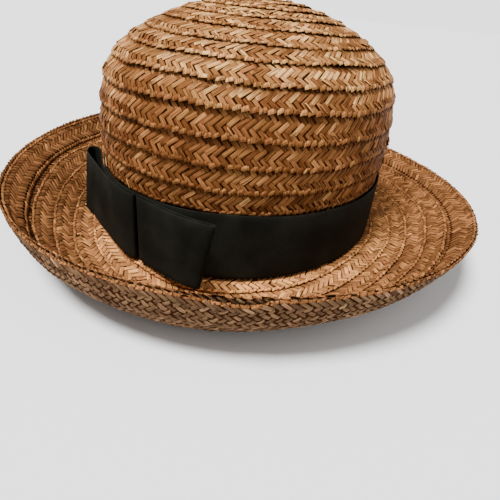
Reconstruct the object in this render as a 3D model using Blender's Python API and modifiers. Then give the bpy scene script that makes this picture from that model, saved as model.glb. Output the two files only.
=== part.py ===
"""A straw bowler hat: a domed crown and a rolled brim of sewn braid, a ribbon band and a flat bow.

Metres, +Z up. The long way of the head lies along Y, with the bow on the -Y side. The hat rests on
its brim, and the origin is on the surface under the middle of the hat.
"""

import math

import bmesh
import bpy
import numpy as np

# Plan of the hat: every ring is an oval, given by its mean radius and by OVAL, length over width
OVAL = 1.20
SEGMENTS = 48
TOUCH_GAP = 0.0003

# Crown, in heights above the foot, where the crown meets the brim
CROWN_PROFILE = (
    {"height": 0.0005, "radius": 0.0941},
    {"height": 0.0365, "radius": 0.0932},
    {"height": 0.0440, "radius": 0.0941},
    {"height": 0.0640, "radius": 0.0944},
    {"height": 0.0780, "radius": 0.0930},
    {"height": 0.0885, "radius": 0.0904},
    {"height": 0.0980, "radius": 0.0842},
    {"height": 0.1068, "radius": 0.0732},
    {"height": 0.1146, "radius": 0.0588},
    {"height": 0.1206, "radius": 0.0430},
    {"height": 0.1248, "radius": 0.0262},
    {"height": 0.1272, "radius": 0.0},
)
CROWN_WALL = 0.0022
ROW_PITCH = 0.0116          # straw showing between one row's edge and the next
ROW_LAP = 0.0010            # how far a row's edge stands over the row that it laps
FIRST_ROW_HEIGHT = 0.0385   # the lowest row edge that shows, over the ribbon
LEAST_ROW = 0.6             # the top button takes in a last row narrower than this share of a row
MIDDLE_LAP = 0.6            # how proud a row still is halfway up, as a share of ROW_LAP
CURVE_STEPS = 12
INNER_POINTS = 14

# Brim, by the direction in plan: 0 is +X, 270 is -Y, where the bow is
BRIM_DIRECTIONS = (
    {"direction": 0, "rim_height": 0.0243, "low_height": -0.0004, "fullness": 1.14},
    {"direction": 45, "rim_height": 0.0238, "low_height": -0.0045, "fullness": 1.35},
    {"direction": 90, "rim_height": 0.0305, "low_height": -0.0086, "fullness": 1.90},
    {"direction": 135, "rim_height": 0.0360, "low_height": -0.0045, "fullness": 2.10},
    {"direction": 180, "rim_height": 0.0325, "low_height": 0.0004, "fullness": 1.30},
    {"direction": 225, "rim_height": 0.0270, "low_height": -0.0034, "fullness": 1.24},
    {"direction": 270, "rim_height": 0.0268, "low_height": -0.0086, "fullness": 2.10},
    {"direction": 315, "rim_height": 0.0277, "low_height": -0.0046, "fullness": 1.80},
)
RIM_HALF_WIDTH = 0.1485
RIM_HALF_LENGTH = 0.1542
BRIM_WALL = 0.0020
BRIM_ROWS = 6
BRIM_FLAT_SHARE = 0.30      # share of the brim's width that runs out flat before it rolls up
FLAT_STEPS = 12
ROLL_STEPS = 30
RIM_BRAID = 0.0016          # the second braid sewn outside the rim
LAND_ROW = 1                # the row whose underside touches the surface, at the front and the back
LAND_HALF_ANGLE = 18.0
FOOT_HEIGHT = 0.0103        # the foot above the surface that the hat rests on

# Ribbon
RIBBON_WIDTH = 0.0365
RIBBON_THICKNESS = 0.0010
RIBBON_RISE = 0.0017        # the band's top edge runs this much higher on its high side
RIBBON_HIGH_DIRECTION = 200.0
BAND_STEPS = 96
BOW_LIFT = 0.0008           # the bow's lower edge above the foot
CREASE_DIRECTION = 257.0    # where the bow's two loops meet
LEFT_HEM_SHARE = 0.995      # a loop's length along its lower edge, over that along its upper edge
RIGHT_HEM_SHARE = 0.87

# The bow's two loops, in plan: where the leaf passes, and how far its middle stands off the band
LEFT_LOOP = (
    {"direction": 256.0, "stand_off": 0.0022},
    {"direction": 244.0, "stand_off": 0.0021},
    {"direction": 233.0, "stand_off": 0.0028},
    {"direction": 222.0, "stand_off": 0.0062},
    {"direction": 213.5, "stand_off": 0.0112},
    {"direction": 210.0, "stand_off": 0.0116},
    {"direction": 208.8, "stand_off": 0.0085},
    {"direction": 211.0, "stand_off": 0.0046},
    {"direction": 218.0, "stand_off": 0.0018},
    {"direction": 228.0, "stand_off": 0.0010},
    {"direction": 244.0, "stand_off": 0.0008},
    {"direction": 256.0, "stand_off": 0.0008},
)
RIGHT_LOOP = (
    {"direction": 258.0, "stand_off": 0.0008},
    {"direction": 264.0, "stand_off": 0.0017},
    {"direction": 272.0, "stand_off": 0.0052},
    {"direction": 280.0, "stand_off": 0.0092},
    {"direction": 285.0, "stand_off": 0.0116},
    {"direction": 286.0, "stand_off": 0.0126},
    {"direction": 285.2, "stand_off": 0.0134},
    {"direction": 280.0, "stand_off": 0.0113},
    {"direction": 272.0, "stand_off": 0.0072},
    {"direction": 264.0, "stand_off": 0.0036},
    {"direction": 258.0, "stand_off": 0.0022},
)
LOOP_STEPS = 4

STRAW_COLOUR = (0.33, 0.16, 0.055, 1.0)
BRIM_COLOUR = (0.27, 0.125, 0.045, 1.0)
RIBBON_COLOUR = (0.012, 0.013, 0.013, 1.0)
STRAW_ROUGHNESS = 0.55
RIBBON_ROUGHNESS = 0.8


def clear_scene():
    for thing in list(bpy.data.objects):
        bpy.data.objects.remove(thing, do_unlink=True)


def make_material(name, colour, roughness):
    material = bpy.data.materials.new(name)
    material.use_nodes = True
    shader = material.node_tree.nodes["Principled BSDF"]
    shader.inputs["Base Color"].default_value = colour
    shader.inputs["Roughness"].default_value = roughness
    shader.inputs["Metallic"].default_value = 0.0
    return material


def add_object(collection, name, points, faces, edges, material):
    mesh = bpy.data.meshes.new(name)
    mesh.from_pydata([tuple(p) for p in points], edges, faces)
    mesh.materials.append(material)
    thing = bpy.data.objects.new(name, mesh)
    thing.location = (0.0, 0.0, FOOT_HEIGHT)
    collection.objects.link(thing)
    return thing


def oval_point(mean_radius, turn):
    """Where an oval of this mean radius passes at an angle in radians."""
    return np.array(
        [
            mean_radius / math.sqrt(OVAL) * math.cos(turn),
            mean_radius * math.sqrt(OVAL) * math.sin(turn),
        ]
    )


def smooth_path(points, steps, closed=False):
    """A curve through the points, with its bends eased by the distance between them."""
    points = np.asarray(points, float)
    if closed:
        padded = np.vstack([points[-1:], points, points[:2]])
    else:
        before = 2 * points[0] - points[1]
        after = 2 * points[-1] - points[-2]
        padded = np.vstack([before, points, after])
    out = []
    for i in range(1, len(padded) - 2):
        a, b, c, d = padded[i - 1 : i + 3]
        knots = np.cumsum([0.0] + [math.sqrt(np.linalg.norm(q - p)) for p, q in ((a, b), (b, c), (c, d))])
        for t in np.linspace(knots[1], knots[2], steps, endpoint=False):
            ab = blend(a, b, knots[0], knots[1], t)
            bc = blend(b, c, knots[1], knots[2], t)
            cd = blend(c, d, knots[2], knots[3], t)
            abc = blend(ab, bc, knots[0], knots[2], t)
            bcd = blend(bc, cd, knots[1], knots[3], t)
            out.append(blend(abc, bcd, knots[1], knots[2], t))
    if not closed:
        out.append(points[-1])
    return np.array(out)


def blend(start, end, t_start, t_end, t):
    share = (t - t_start) / (t_end - t_start)
    return (1 - share) * start + share * end


def lengths_along(path):
    steps = np.linalg.norm(np.diff(path, axis=0), axis=1)
    return np.concatenate([[0.0], np.cumsum(steps)])


def outward_normals(path):
    """Normals on the left of a path in a section, each across its neighbours."""
    ahead = np.gradient(path, axis=0)
    ahead /= np.linalg.norm(ahead, axis=1)[:, None]
    return np.stack([-ahead[:, 1], ahead[:, 0]], axis=1)


def point_on(path, lengths, normals, at, offset):
    """A point of the section at a length along its path, moved off it along the normal."""
    place = np.array([np.interp(at, lengths, path[:, k]) for k in range(2)])
    normal = np.array([np.interp(at, lengths, normals[:, k]) for k in range(2)])
    return place + offset * normal / np.linalg.norm(normal)


def crown_path():
    """The crown's outer line from the foot to the top, as mean radius and height."""
    knots = [(row["radius"], row["height"]) for row in CROWN_PROFILE]
    return smooth_path(knots, CURVE_STEPS)


def crown_section():
    """The crown's half section, down its lapped outer side and up its smooth inner side."""
    path = crown_path()
    path[:, 0] = np.maximum(path[:, 0], 0.0)
    lengths = lengths_along(path)
    normals = -outward_normals(path)
    normals[-1] = (0.0, 1.0)
    first = np.interp(FIRST_ROW_HEIGHT, path[:, 1], lengths)
    outer = [point_on(path, lengths, normals, at, 0.0) for at in (0.0, first / 2, first)]
    rows = int((lengths[-1] - first) / ROW_PITCH + 1 - LEAST_ROW)
    for k in range(rows):
        edge = first + k * ROW_PITCH
        outer.append(point_on(path, lengths, normals, edge, ROW_LAP))
        if k < rows - 1:
            middle = edge + ROW_PITCH / 2
            outer.append(point_on(path, lengths, normals, middle, MIDDLE_LAP * ROW_LAP))
            outer.append(point_on(path, lengths, normals, edge + ROW_PITCH, 0.0))
    outer.append(np.array([0.0, path[-1, 1] + ROW_LAP]))
    inner = []
    for at in np.linspace(0.0, lengths[-1], INNER_POINTS):
        inner.append(point_on(path, lengths, normals, at, -CROWN_WALL))
    inner[0][1] = path[0, 1]
    inner[-1][0] = 0.0
    return outer[::-1] + inner


def turn_into_shell(crown):
    """Turns the half section about the crown's axis, then gives the crown its oval plan."""
    screw = crown.modifiers.new("turn", "SCREW")
    screw.axis = "Z"
    screw.angle = 2 * math.pi
    screw.steps = SEGMENTS
    screw.render_steps = SEGMENTS
    screw.use_merge_vertices = True
    screw.merge_threshold = 0.00001
    crown.scale = (1 / math.sqrt(OVAL), math.sqrt(OVAL), 1.0)


def around(column, turn):
    """A column of BRIM_DIRECTIONS read at any angle, as the smoothest wave through its rows."""
    values = np.array([row[column] for row in BRIM_DIRECTIONS])
    count = len(values)
    waves = np.fft.rfft(values) / count
    total = waves[0].real
    for order in range(1, count // 2 + 1):
        weight = 1.0 if order == count // 2 else 2.0
        total += weight * (waves[order] * np.exp(1j * order * turn)).real
    return total


def brim_path(turn):
    """The brim's middle line at an angle, as distance out from the foot and height."""
    rim = np.array([RIM_HALF_WIDTH * math.cos(turn), RIM_HALF_LENGTH * math.sin(turn)])
    foot = oval_point(CROWN_PROFILE[0]["radius"] - CROWN_WALL, turn)
    reach = np.linalg.norm(rim - foot)
    foot_height = -BRIM_WALL / 2 - ROW_LAP / 2
    low = around("low_height", turn)
    rise = around("rim_height", turn) - low
    power = 2 / around("fullness", turn)
    path = []
    for share in np.linspace(0.0, 1.0, FLAT_STEPS, endpoint=False):
        ease = share * share * (3 - 2 * share)
        path.append((reach * BRIM_FLAT_SHARE * share, foot_height + (low - foot_height) * ease))
    for angle in np.linspace(0.0, math.pi / 2, ROLL_STEPS):
        out = BRIM_FLAT_SHARE + (1 - BRIM_FLAT_SHARE) * math.sin(angle) ** power
        path.append((reach * out, low + rise * (1 - max(math.cos(angle), 0.0) ** power)))
    return foot, (rim - foot) / reach, np.array(path)


def brim_section(turn):
    """The brim's closed section at an angle: out along the lapped top, back along the underside."""
    foot, outward, path = brim_path(turn)
    lengths = lengths_along(path)
    normals = outward_normals(path)
    row = lengths[-1] / BRIM_ROWS
    upper = []
    lower = []
    for k in range(BRIM_ROWS):
        doubled = RIM_BRAID if k == BRIM_ROWS - 1 else 0.0
        inside = k * row
        outside = (k + 1) * row
        upper.append(point_on(path, lengths, normals, inside, BRIM_WALL / 2 - ROW_LAP / 2))
        upper.append(point_on(path, lengths, normals, outside, BRIM_WALL / 2 + ROW_LAP / 2))
        lower.append(point_on(path, lengths, normals, inside, -BRIM_WALL / 2 - ROW_LAP / 2 - doubled))
        lower.append(point_on(path, lengths, normals, outside, -BRIM_WALL / 2 + ROW_LAP / 2 - doubled))
    upper[0][1] = 0.0
    degrees = math.degrees(turn) % 360
    if min(abs(degrees - 90), abs(degrees - 270)) <= LAND_HALF_ANGLE:
        lower[2 * LAND_ROW][1] = -FOOT_HEIGHT
        lower[2 * LAND_ROW + 1][1] = -FOOT_HEIGHT
    flat = upper + lower[::-1]
    return [(*(foot + out * outward), height) for out, height in flat]


def loft_ring(sections):
    """Faces between closed sections set round a ring, the last joined to the first."""
    size = len(sections[0])
    points = [p for section in sections for p in section]
    faces = []
    for i in range(len(sections)):
        ahead = (i + 1) % len(sections)
        for k in range(size):
            right = (k + 1) % size
            faces.append((i * size + k, ahead * size + k, ahead * size + right, i * size + right))
    return points, faces


def ring_faces(count):
    """Faces of a closed strip on edge: a lower ring of points, then an upper ring."""
    faces = []
    for i in range(count):
        ahead = (i + 1) % count
        faces.append((i, ahead, count + ahead, count + i))
    return faces


def band_radius(height):
    """The mean radius of the band's middle: a small gap off the crown."""
    path = crown_path()
    crown_radius = np.interp(height, path[:, 1], path[:, 0])
    return crown_radius + TOUCH_GAP + RIBBON_THICKNESS / 2


def make_band(collection, material):
    """The ribbon round the crown's foot. Returns the mean radius of its middle."""
    radius = max(band_radius(0.0), band_radius(RIBBON_WIDTH))
    turns = [2 * math.pi * i / BAND_STEPS for i in range(BAND_STEPS)]
    high = math.radians(RIBBON_HIGH_DIRECTION)
    points = [(*oval_point(radius, turn), TOUCH_GAP + ROW_LAP / 2) for turn in turns]
    for turn in turns:
        top = RIBBON_WIDTH + RIBBON_RISE * math.cos(turn - high)
        points.append((*oval_point(radius, turn), top))
    band = add_object(collection, "hat_band", points, ring_faces(BAND_STEPS), [], material)
    thicken(band)
    face_out(band)
    return radius


def beside_band(band_middle, along, stand_off):
    """A point in plan at a length round the band, standing off the band's outer face."""
    turn = along / band_middle
    ahead = oval_point(band_middle, turn + math.pi / 2)
    normal = np.array([ahead[1], -ahead[0]]) / np.linalg.norm(ahead)
    closest = TOUCH_GAP + RIBBON_THICKNESS / 2
    return oval_point(band_middle, turn) + (RIBBON_THICKNESS / 2 + max(stand_off, closest)) * normal


def make_loop(collection, name, table, hem_share, band_middle, material):
    """One loop of the bow: a ribbon whose two leaves meet at the crease, shorter along its hem."""
    knots = [(band_middle * math.radians(row["direction"]), row["stand_off"]) for row in table]
    crease = band_middle * math.radians(CREASE_DIRECTION)
    unrolled = smooth_path(knots, LOOP_STEPS, closed=True)
    count = len(unrolled)
    points = []
    for height, share in ((BOW_LIFT, hem_share), (BOW_LIFT + RIBBON_WIDTH, 1.0)):
        for along, stand_off in unrolled:
            place = beside_band(band_middle, crease + share * (along - crease), share * stand_off)
            points.append((*place, height))
    loop = add_object(collection, name, points, ring_faces(count), [], material)
    thicken(loop)
    face_out(loop)


def thicken(strip):
    """Gives a strip its cloth thickness, half of it on each side."""
    wall = strip.modifiers.new("cloth", "SOLIDIFY")
    wall.thickness = RIBBON_THICKNESS
    wall.offset = 0.0
    wall.use_even_offset = True


def face_out(thing):
    mesh = bmesh.new()
    mesh.from_mesh(thing.data)
    bmesh.ops.recalc_face_normals(mesh, faces=mesh.faces)
    mesh.to_mesh(thing.data)
    mesh.free()


def make_crown(collection, material):
    section = crown_section()
    points = [(radius, 0.0, height) for radius, height in section]
    edges = [(i, i + 1) for i in range(len(points) - 1)]
    crown = add_object(collection, "crown", points, [], edges, material)
    turn_into_shell(crown)


def make_brim(collection, material):
    turns = [2 * math.pi * i / SEGMENTS for i in range(SEGMENTS)]
    points, faces = loft_ring([brim_section(turn) for turn in turns])
    brim = add_object(collection, "brim", points, faces, [], material)
    face_out(brim)


def main():
    clear_scene()
    collection = bpy.data.collections.new("Straw bowler hat")
    bpy.context.scene.collection.children.link(collection)
    straw = make_material("straw braid", STRAW_COLOUR, STRAW_ROUGHNESS)
    brim_straw = make_material("brim straw braid", BRIM_COLOUR, STRAW_ROUGHNESS)
    ribbon = make_material("ribbed ribbon", RIBBON_COLOUR, RIBBON_ROUGHNESS)
    make_crown(collection, straw)
    make_brim(collection, brim_straw)
    band_middle = make_band(collection, ribbon)
    make_loop(collection, "bow_loop_left", LEFT_LOOP, LEFT_HEM_SHARE, band_middle, ribbon)
    make_loop(collection, "bow_loop_right", RIGHT_LOOP, RIGHT_HEM_SHARE, band_middle, ribbon)


main()
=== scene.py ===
"""Straw bowler hat: crown and brim wound from lapped plaits of flat straw, a black ribbon and a flat bow.

Metres, +Z up, in the frame of the solids. The long way of the head lies along Y, the bow is on the -Y
side, and the hat rests on its brim. A plait is laid out straight first: along it, across it from the
edge that shows, and up from its middle. It is then wound over the crown or the brim as a spiral.
"""

import math

import bpy
import numpy as np
from bpy.props import FloatProperty, FloatVectorProperty, PointerProperty
from mathutils import Matrix


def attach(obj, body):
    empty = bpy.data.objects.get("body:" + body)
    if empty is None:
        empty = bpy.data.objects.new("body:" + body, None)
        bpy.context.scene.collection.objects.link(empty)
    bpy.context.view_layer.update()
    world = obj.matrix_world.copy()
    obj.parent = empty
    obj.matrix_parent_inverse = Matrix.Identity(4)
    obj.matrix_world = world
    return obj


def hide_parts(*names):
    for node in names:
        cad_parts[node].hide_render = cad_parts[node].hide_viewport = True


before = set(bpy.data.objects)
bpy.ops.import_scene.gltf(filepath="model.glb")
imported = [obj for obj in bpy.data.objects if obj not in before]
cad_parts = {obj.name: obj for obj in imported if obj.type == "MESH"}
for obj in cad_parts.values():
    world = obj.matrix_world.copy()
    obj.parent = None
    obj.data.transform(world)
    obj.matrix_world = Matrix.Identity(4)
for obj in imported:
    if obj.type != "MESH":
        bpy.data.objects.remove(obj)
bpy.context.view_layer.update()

bl_info = {
    "name": "Straw bowler hat",
    "version": (1, 0, 0),
    "blender": (4, 5, 0),
    "location": "3D View > Sidebar > Hat",
    "description": "Winds a bowler hat from plaited straw and ties it with a black ribbon",
    "category": "Object",
}

FULL_TURN = 2 * math.pi


def table(names, *rows):
    """Rows as dictionaries, with a name for each column."""
    return tuple(dict(zip(names, row)) for row in rows)


# The hat's solid shape, the same as in the solids' source
OVAL = 1.20
FOOT_HEIGHT = 0.0103
CROWN_PROFILE = table(
    ("height", "radius"),
    (0.0005, 0.0941),
    (0.0365, 0.0932),
    (0.0440, 0.0941),
    (0.0640, 0.0944),
    (0.0780, 0.0930),
    (0.0885, 0.0904),
    (0.0980, 0.0842),
    (0.1068, 0.0732),
    (0.1146, 0.0588),
    (0.1206, 0.0430),
    (0.1248, 0.0262),
    (0.1272, 0.0),
)
CROWN_WALL = 0.0022
BRIM_DIRECTIONS = table(
    ("direction", "rim_height", "low_height", "fullness"),
    (0, 0.0243, -0.0004, 1.14),
    (45, 0.0238, -0.0045, 1.35),
    (90, 0.0305, -0.0086, 1.90),
    (135, 0.0360, -0.0045, 2.10),
    (180, 0.0325, 0.0004, 1.30),
    (225, 0.0270, -0.0034, 1.24),
    (270, 0.0268, -0.0086, 2.10),
    (315, 0.0277, -0.0046, 1.80),
)
RIM_HALF_WIDTH = 0.1485
RIM_HALF_LENGTH = 0.1542
BRIM_MIDDLE_DROP = 0.0015
BRIM_FLAT_SHARE = 0.30
RIBBON_WIDTH = 0.0365
RIBBON_RISE = 0.0017
RIBBON_HIGH_DIRECTION = 200.0
TOUCH_GAP = 0.0003
BAND_FOOT = TOUCH_GAP + CROWN_PROFILE[0]["height"]
BAND_HALF_WALL = 0.0005
LEAST_STAND_OFF = TOUCH_GAP + BAND_HALF_WALL
BOW_LIFT = 0.0008
CREASE_DIRECTION = 257.0
RIGHT_HEM_SHARE = 0.87
LEFT_LOOP = table(
    ("direction", "stand_off"),
    (256.0, 0.0022),
    (244.0, 0.0021),
    (233.0, 0.0028),
    (222.0, 0.0062),
    (213.5, 0.0112),
    (210.0, 0.0116),
    (208.8, 0.0085),
    (211.0, 0.0046),
    (218.0, 0.0018),
    (228.0, 0.0010),
    (244.0, 0.0008),
    (256.0, 0.0008),
)
RIGHT_LOOP = table(
    ("direction", "stand_off"),
    (258.0, 0.0008),
    (264.0, 0.0017),
    (272.0, 0.0052),
    (280.0, 0.0092),
    (285.0, 0.0116),
    (286.0, 0.0126),
    (285.2, 0.0134),
    (280.0, 0.0113),
    (272.0, 0.0072),
    (264.0, 0.0036),
    (258.0, 0.0022),
)

# What the ribbon has besides: the left loop's lower edge, which is as long as its upper one and flares, and
# the band's waves, its bulge and how far it stands clear of the solid band's middle
LEFT_HEM_SHARE = 1.0
LEFT_HEM_FLARE = 0.36
RIBBON_RIPPLES = table(("height", "waves", "start"), (0.00025, 5, 1.0), (0.00018, 11, 2.0))
RIBBON_BULGE = 0.00015
RIBBON_CLEARANCE = 0.0002

# Columns of straws across a plait: the kind of straw, where the column lies from the edge that shows, its
# lean to the plait's run, each straw's length, width, height and first place, how much paler it is, and
# the share of places that have one. The paleness is painted light and shade: straws that lean one way are
# painted lighter and those that lean the other way darker, as the light falls on them, and most folds
# paler where they catch the light. Folds turn over the plait's edge, and floats lie flat on its face.
COLUMN_NAMES = ("kind", "from_edge", "lean", "length", "width", "height", "phase", "pale", "share")
CROWN_COLUMNS = table(
    COLUMN_NAMES,
    ("fold", 0.0012, 18.0, 0.0050, 0.0025, 0.56, 0.20, 0.12, 1.0),
    ("float", 0.0035, -46.0, 0.0065, 0.0028, 0.75, 0.50, -0.14, 1.0),
    ("float", 0.0074, 42.0, 0.0074, 0.0028, 1.20, 0.00, 0.14, 1.0),
    ("float", 0.0113, -46.0, 0.0076, 0.0028, 0.75, 0.50, -0.14, 1.0),
)
CROWN_SLIVERS = table(
    COLUMN_NAMES,
    ("float", 0.0030, -44.0, 0.0056, 0.0007, 2.10, 0.80, 0.50, 0.08),
    ("float", 0.0064, 38.0, 0.0062, 0.0006, 2.30, 0.40, 0.35, 0.02),
)
BRIM_COLUMNS = table(
    COLUMN_NAMES,
    ("fold", 0.0009, 10.0, 0.0052, 0.0018, 0.70, 0.20, 0.15, 1.0),
    ("float", 0.0033, -46.0, 0.0062, 0.0030, 0.65, 0.50, -0.06, 1.0),
    ("float", 0.0072, 42.0, 0.0070, 0.0027, 0.85, 0.00, 0.08, 1.0),
    ("float", 0.0112, -46.0, 0.0078, 0.0030, 0.65, 0.50, -0.06, 1.0),
)
UNDER_COLUMNS = table(
    COLUMN_NAMES,
    ("float", 0.0018, 34.0, 0.0060, 0.0023, 0.80, 0.00, 0.00, 1.0),
    ("float", 0.0044, -34.0, 0.0064, 0.0022, 1.00, 0.50, 0.00, 1.0),
    ("float", 0.0070, 34.0, 0.0064, 0.0022, 0.80, 0.00, 0.00, 1.0),
    ("float", 0.0096, -34.0, 0.0064, 0.0022, 1.00, 0.50, 0.00, 1.0),
    ("float", 0.0122, 34.0, 0.0064, 0.0022, 0.80, 0.00, 0.00, 1.0),
)
UNDER_LAST = table(COLUMN_NAMES, ("float", 0.0147, -34.0, 0.0060, 0.0022, 1.00, 0.50, 0.00, 1.0))
UNDER_FOLD = table(COLUMN_NAMES, ("fold", 0.0164, 6.0, 0.0048, 0.0013, 0.70, 0.20, 0.10, 1.0))
FAR_FOLD = table(COLUMN_NAMES, ("fold", 0.0156, 10.0, 0.0054, 0.0027, 0.40, 0.20, -0.12, 1.0))

# How uneven the straws are: for each kind the spreads of place across, lean in degrees, share of length
# and share of width, and how much paler a bright one is, a painted glint. Then what both kinds have in
# common, with the chance of a painted glint.
UNEVEN = {
    "float": {"across": 0.00012, "lean": 2.6, "length": 0.035, "width": 0.05, "bright": 0.5},
    "fold": {"across": 0.00006, "lean": 4.16, "length": 0.056, "width": 0.08, "bright": 0.15},
}
UNEVEN_ALONG = 0.00016
UNEVEN_HEIGHT = 0.14
UNEVEN_ROLL = 0.00007
MEAN_WIDTH = 0.98
BRIGHT_CHANCE = 0.05

# Heights above the foot of the crown's row edges, at the direction that the camera looks from
FRONT_DIRECTION = 290.0
CROWN_ROWS_AT_FRONT = (0.1083, 0.1023, 0.0938, 0.0838, 0.0715, 0.0593, 0.0480)

# How the plait lies on the crown, with the painted shadow under each row and the painted light on its top.
# Rows tilt and curl less towards the top. Pairs are where an effect starts and ends: heights above the foot
# for those named TOP, lengths across the plait for the others.
CROWN_EDGE_HEIGHT = 0.0005
CROWN_CURL_REACH = (0.0005, 0.0045)
# Painted shadow: the straws just under the row above are painted dark over this stretch
CROWN_SHADE_REACH = (0.0008, 0.0014)
BEHIND_RIBBON = 0.0009
BEHIND_RIBBON_REACH = 0.002
TOP_FLATTER = (0.078, 0.110)
# The painted shadow under a row grows weaker towards the top over these heights
TOP_LIGHTER = (0.088, 0.113)
# Painted light: the straws are painted paler towards the crown's top over these heights
TOP_PAINTED_LIGHT_REACH = (0.068, 0.102)
TOP_DROP = 0.0002
TOP_TILT_LOSS = 0.35
TOP_CURL_LOSS = 0.85
TOP_SHADE_LOSS = 0.35
# How much paler the painted light on the crown's top makes the straws
TOP_PAINTED_LIGHT = 0.68
EYE_LENGTH = 0.0025
EYE_RADIUS = 0.0035

# How the plait lies on the brim. The spiral reaches the rim at one direction, and then follows it for a
# share of a turn. Pairs are where an effect starts and ends, in lengths or in directions.
BRIM_END_DIRECTION = 125.0
BRIM_OVERRUN = 0.72
BRIM_EDGE_HEIGHT = 0.0008
BRIM_TILT_SHARE = 0.75
BRIM_CURL_SHARE = 0.2
BRIM_SWAY_LOSS = 0.85
# Painted shade: the brim's straws are painted dark beside the next row, by this much and over this reach
BRIM_SHADE = 0.66
BRIM_SHADE_REACH = (0.0006, 0.0014)
# Painted light: the brim's straws are painted paler by the crown's foot, by this much and over this reach
BRIM_PAINTED_LIGHT = 0.82
BRIM_PAINTED_LIGHT_REACH = (0.008, 0.032)
RIM_COVER_REACH = (0.0150, 0.0182)
RIM_COVER_SINK = 0.0010
# Painted shade beside the rim's own plait, by this much and over this reach
RIM_SHADE = 0.5
RIM_SHADE_REACH = (0.0156, 0.0162)
RIM_EDGE = 0.0003
RIM_GROOVE = 0.0007
RIM_GROOVE_DIRECTIONS = ((225.0, 258.0), (292.0, 312.0))
RIM_GAPE = 0.0017
RIM_GAPE_SINK = 0.0010
RIM_GAPE_DIRECTIONS = ((281.0, 293.0), (293.3, 296.8))
RIM_TUCK = 0.0020
RIM_TUCK_DIRECTIONS = ((140.0, 178.0), (232.0, 262.0))
LAST_TURN_DROP = 0.0002
EDGE_LIFT_REACH = (0.0, 0.007)
RIM_PLAIT_HEIGHT = 0.00075
RIM_PLAIT_FAR_DROP = 0.0004
# Painted shade: the rim's own plait is painted a little darker
RIM_PLAIT_PAINTED_SHADE = -0.05

# Steps round the brim and across it, and along the spirals and the rim
BRIM_SPOKES = 180
BRIM_STATIONS = 110
SPIRAL_STEPS = 6000
RIM_STEPS = 1500

# Where straws stop: this far behind the ribbon's upper edge, above the crown's foot, short of its top, short
# of the brim's inner edge above and below, past the rim below, and in from the rim above, where the rim's
# own plait covers them. The straws of the rim's edges are those this close to it.
HIDDEN_BY_RIBBON = 0.004
CROWN_FOOT_ROOM = 0.0012
CROWN_TOP_ROOM = 0.0008
BRIM_FOOT_ROOM = 0.0010
UNDER_FOOT_ROOM = 0.0006
UNDER_PAST_RIM = 0.001
UNDER_RIM_PLAIT = 0.012
RIM_EDGE_REACH = 0.0036


def oval_point(mean_radius, turn):
    """A point in plan of an oval as long and as wide as the head's, by its angle."""
    across = mean_radius / math.sqrt(OVAL) * np.cos(turn)
    along = mean_radius * math.sqrt(OVAL) * np.sin(turn)
    return np.stack([across, along], axis=-1)


def unit(vectors):
    return vectors / np.linalg.norm(vectors, axis=-1, keepdims=True)


def blend(start, end, t_start, t_end, t):
    share = (t - t_start) / (t_end - t_start)
    return (1 - share) * start + share * end


def smooth_path(points, steps, closed=False):
    """A curve through the points, with its bends eased by the distance between them."""
    points = np.asarray(points, float)
    if closed:
        padded = np.vstack([points[-1:], points, points[:2]])
    else:
        padded = np.vstack([2 * points[0] - points[1], points, 2 * points[-1] - points[-2]])
    out = []
    for i in range(1, len(padded) - 2):
        a, b, c, d = padded[i - 1 : i + 3]
        k = np.cumsum([0.0] + [math.sqrt(np.linalg.norm(q - p)) for p, q in ((a, b), (b, c), (c, d))])
        for t in np.linspace(k[1], k[2], steps, endpoint=False):
            ab = blend(a, b, k[0], k[1], t)
            bc = blend(b, c, k[1], k[2], t)
            cd = blend(c, d, k[2], k[3], t)
            early = blend(ab, bc, k[0], k[2], t)
            late = blend(bc, cd, k[1], k[3], t)
            out.append(blend(early, late, k[1], k[2], t))
    if not closed:
        out.append(points[-1])
    return np.array(out)


def lengths_along(path):
    return np.concatenate([[0.0], np.cumsum(np.linalg.norm(np.diff(path, axis=0), axis=1))])


def ease(value, start, end):
    """0 before start, 1 after end, and smooth between them."""
    share = np.clip((np.asarray(value, float) - start) / (end - start), 0.0, 1.0)
    return share * share * (3 - 2 * share)


def fade(value, start, end):
    """1 before start, 0 after end, and smooth between them."""
    return 1 - ease(value, start, end)


def stretch(direction, rise, fall):
    """1 over a stretch of directions round the hat, with a soft rise and a soft fall, in degrees."""
    degrees = np.degrees(direction) % 360
    return ease(degrees, *rise) * fade(degrees, *fall)


class Sway:
    """A gentle, uneven wave along a plait, from the lengths and heights of its parts."""

    def __init__(self, seed, waves):
        rng = np.random.default_rng(seed)
        self.parts = [(length, height, rng.uniform(0, FULL_TURN)) for length, height in waves]

    def at(self, along):
        total = 0.0
        for length, height, start in self.parts:
            total = total + height * np.sin(FULL_TURN * along / length + start)
        return total


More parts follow.
